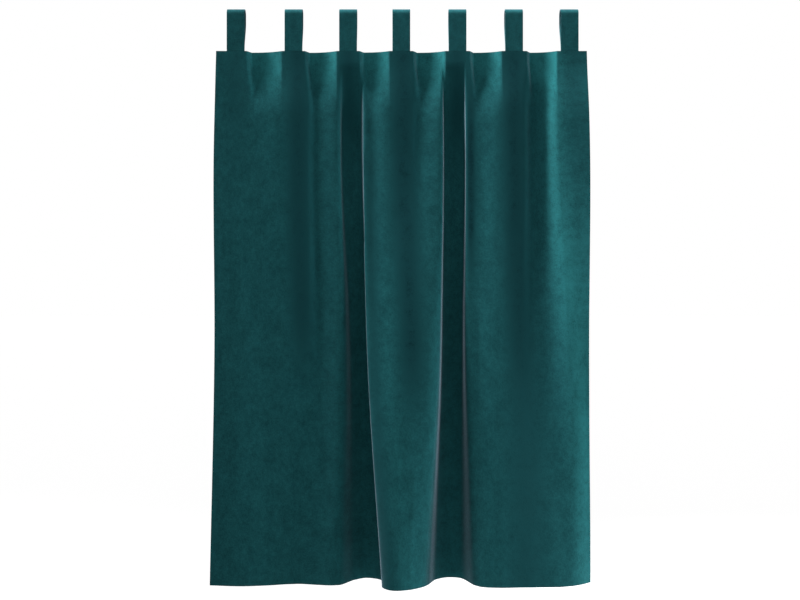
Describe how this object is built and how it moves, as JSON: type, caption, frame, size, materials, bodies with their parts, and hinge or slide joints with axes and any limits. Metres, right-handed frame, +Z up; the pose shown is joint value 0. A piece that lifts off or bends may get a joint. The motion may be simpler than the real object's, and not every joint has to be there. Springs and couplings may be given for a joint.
{
  "type": "velvet tab top curtain",
  "caption": "Velvet curtain panel that hangs in soft folds from a row of tab loops sewn to its top edge, for a rod.",
  "frame": {"origin": "middle of the hanging line, over the rod's centre line, at the top of the tab loops", "axes": "+Z up, +X to the right of someone facing the front, +Y from the front to the back"},
  "size_m": [1.1637, 0.1473, 1.7551],
  "materials": {
    "panel_velvet": "soft cut pile velvet, dark teal, brighter on slopes that turn to the light",
    "tab_velvet": "the same velvet, with its pile running down the strip"
  },
  "bodies": {
    "root": {"panel": "panel_velvet", "tab_1": "tab_velvet", "tab_2": "tab_velvet", "tab_3": "tab_velvet", "tab_4": "tab_velvet", "tab_5": "tab_velvet", "tab_6": "tab_velvet", "tab_7": "tab_velvet"}
  },
  "joints": []
}
